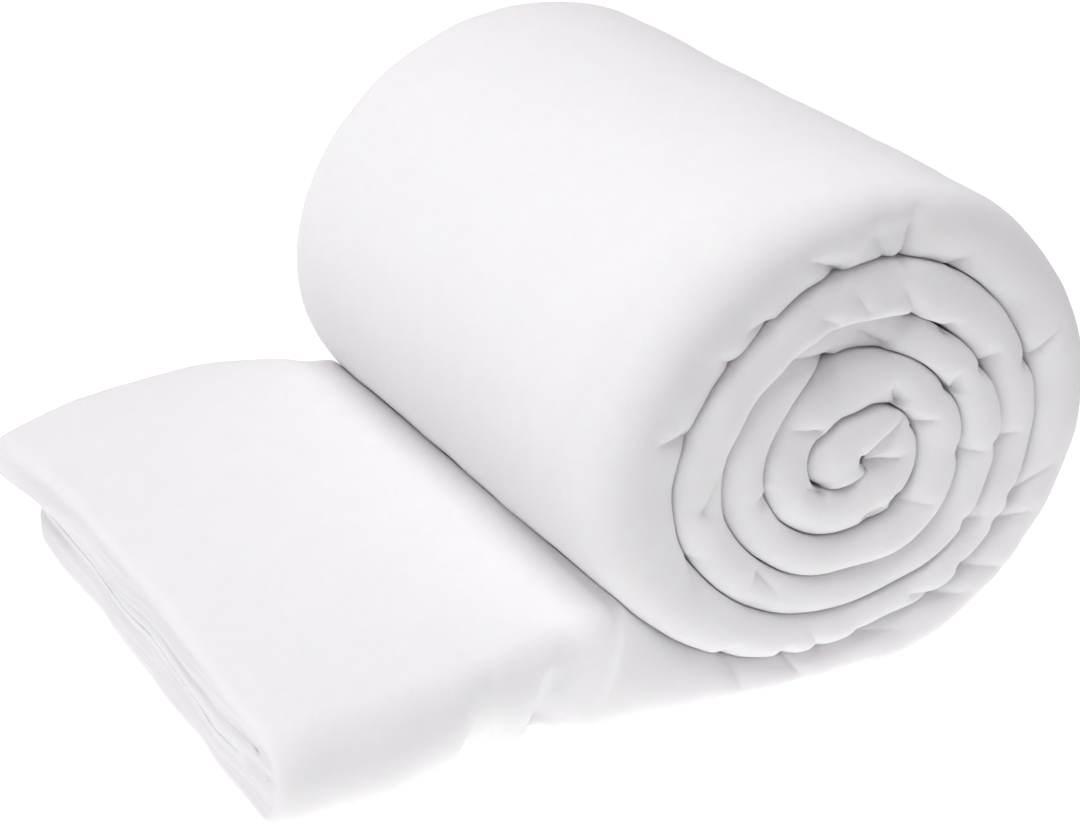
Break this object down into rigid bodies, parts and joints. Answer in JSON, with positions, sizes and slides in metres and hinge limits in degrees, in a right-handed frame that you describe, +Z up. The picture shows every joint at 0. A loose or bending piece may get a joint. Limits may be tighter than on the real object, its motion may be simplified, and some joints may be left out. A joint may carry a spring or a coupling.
{
  "type": "roll of upholstery batting",
  "caption": "Thick white batting folded in half lengthwise and wound into a loose roll, with a flat loose tail lying beside it.",
  "frame": {"origin": "under the middle of the whole object, on the surface it rests on", "axes": "+Z up; the roll's axis lies along Y, its folded end towards -Y; the loose tail lies towards -X"},
  "size_m": [0.8208, 0.627, 0.453],
  "materials": {
    "batting": "matt, soft bonded fibre"
  },
  "bodies": {
    "root": {"batting": "batting"}
  },
  "joints": []
}
